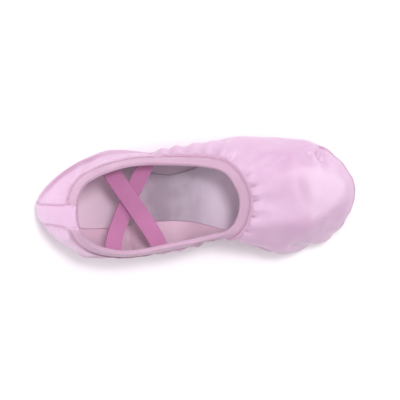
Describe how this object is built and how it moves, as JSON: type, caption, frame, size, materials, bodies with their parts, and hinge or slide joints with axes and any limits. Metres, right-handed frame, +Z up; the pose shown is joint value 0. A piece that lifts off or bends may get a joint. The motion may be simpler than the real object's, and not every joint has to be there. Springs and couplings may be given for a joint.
{
  "type": "ballet slipper",
  "caption": "Soft satin ballet slipper, left foot, empty: low hollow upper with bound collar, centre-back strip, crossed elastic bands, insole, suede heel pad and forefoot pad.",
  "frame": {"origin": "on the floor, under the middle of the shoe's bounding box", "axes": "+X from heel to toe, +Y towards the wearer's left, which is the outer side of this left shoe, +Z up"},
  "size_m": [0.1974, 0.0694, 0.0507],
  "materials": {
    "satin": "shiny pink-lilac satin over a cotton lining",
    "binding": "matt woven binding tape",
    "insole": "plain cotton drill, greyish lilac",
    "suede": "napped suede",
    "elastic": "ribbed woven elastic"
  },
  "bodies": {
    "root": {"upper": "satin", "heel_strip": "satin", "collar_binding": "binding", "insole": "insole", "sole_heel": "suede", "sole_forefoot": "suede", "elastic_over": "elastic", "elastic_under": "elastic"}
  },
  "joints": []
}
